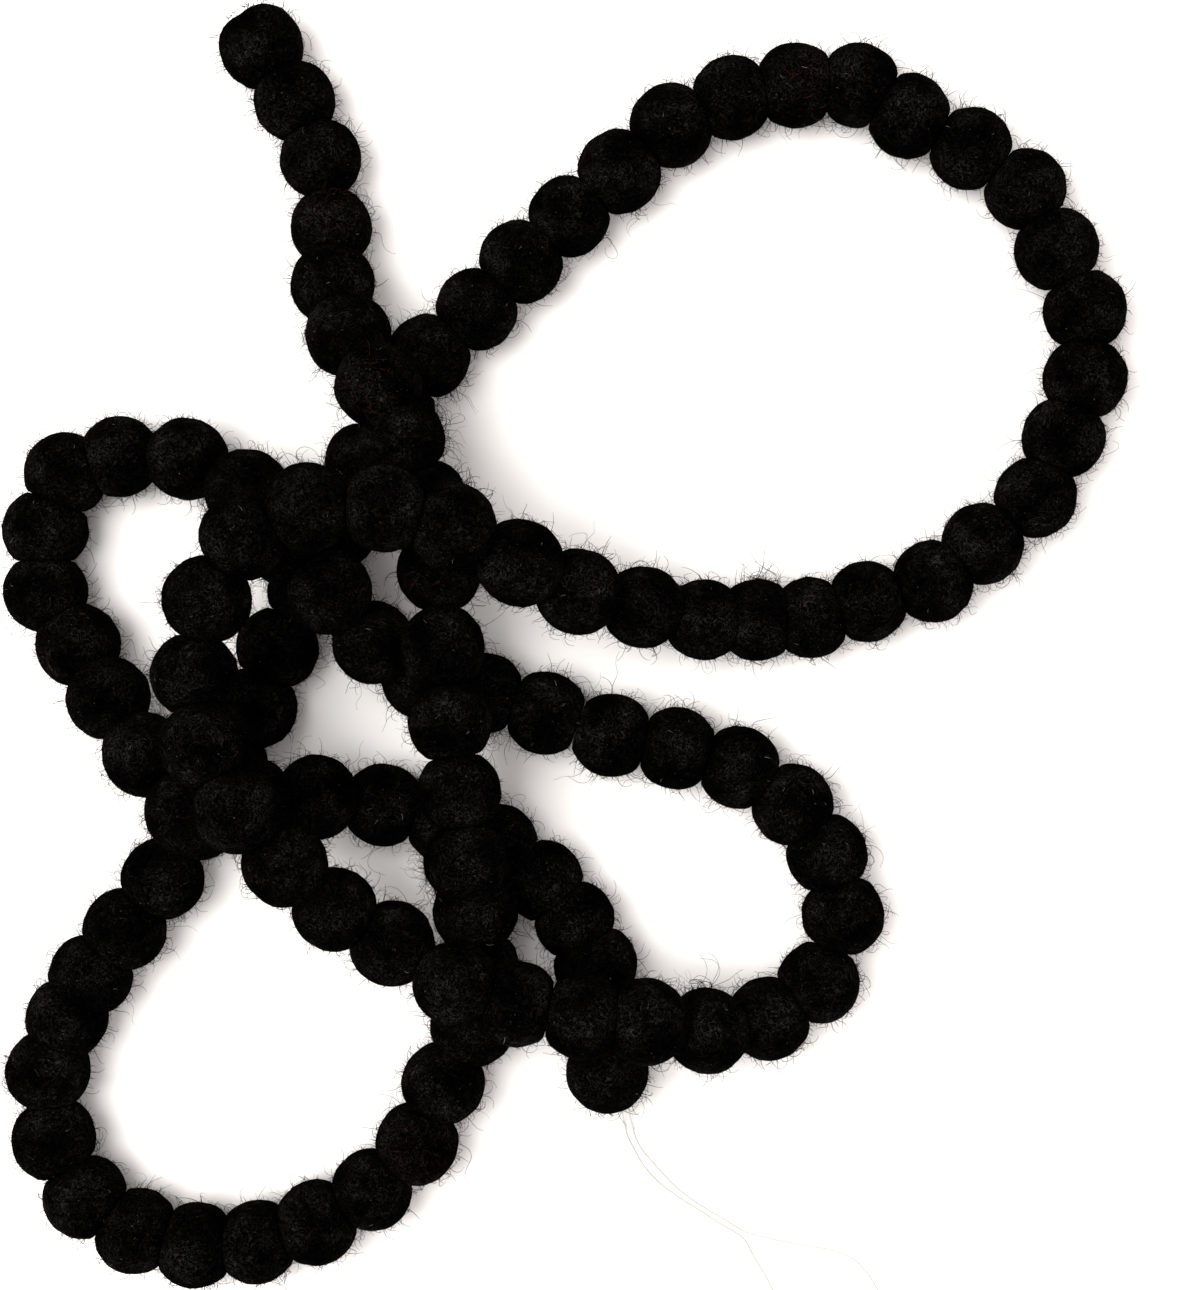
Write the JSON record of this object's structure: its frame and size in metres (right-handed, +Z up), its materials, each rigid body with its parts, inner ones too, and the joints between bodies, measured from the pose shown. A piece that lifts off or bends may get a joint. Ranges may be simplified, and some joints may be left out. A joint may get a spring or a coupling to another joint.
{
  "type": "felt ball garland",
  "caption": "Length of felted wool balls drawn tight on a thread, lying on a surface in loose crossing loops, with two loose thread ends.",
  "frame": {"origin": "on the surface that the garland lies on, under the middle of the ball string's outline", "axes": "+Z up from the surface; +Y along the longer side of the outline, towards the free end ball; +X to the right, towards the big loop"},
  "size_m": [0.2738, 0.3276, 0.0564],
  "materials": {
    "black_felt": "matt felted wool, fuzzy",
    "pale_thread": "matt cotton thread"
  },
  "bodies": {
    "root": {"balls_001_002": "black_felt", "balls_003_004": "black_felt", "balls_005_006": "black_felt", "balls_007_008": "black_felt", "balls_009_010": "black_felt", "balls_011_012": "black_felt", "balls_013_014": "black_felt", "balls_015_016": "black_felt", "balls_017_018": "black_felt", "balls_019_020": "black_felt", "balls_021_022": "black_felt", "balls_023_024": "black_felt", "balls_025_026": "black_felt", "balls_027_028": "black_felt", "balls_029_030": "black_felt", "balls_031_032": "black_felt", "balls_033_034": "black_felt", "balls_035_036": "black_felt", "balls_037_038": "black_felt", "balls_039_040": "black_felt", "balls_041_042": "black_felt", "balls_043_044": "black_felt", "balls_045_046": "black_felt", "balls_047_048": "black_felt", "balls_049_050": "black_felt", "balls_051_052": "black_felt", "balls_053_054": "black_felt", "balls_055_056": "black_felt", "balls_057_058": "black_felt", "balls_059_060": "black_felt", "balls_061_062": "black_felt", "balls_063_064": "black_felt", "balls_065_066": "black_felt", "balls_067_068": "black_felt", "balls_069_070": "black_felt", "balls_071_072": "black_felt", "balls_073_074": "black_felt", "balls_075_076": "black_felt", "balls_077_078": "black_felt", "balls_079_080": "black_felt", "balls_081_082": "black_felt", "balls_083_084": "black_felt", "balls_085_086": "black_felt", "balls_087_088": "black_felt", "balls_089_090": "black_felt", "balls_091_092": "black_felt", "balls_093_094": "black_felt", "balls_095_096": "black_felt", "balls_097_098": "black_felt", "balls_099_100": "black_felt", "balls_101_102": "black_felt", "balls_103_104": "black_felt", "balls_105_106": "black_felt", "balls_107_108": "black_felt", "balls_109_110": "black_felt", "balls_111_112": "black_felt", "balls_113_115": "black_felt", "thread_long": "pale_thread", "thread_short": "pale_thread"}
  },
  "joints": []
}
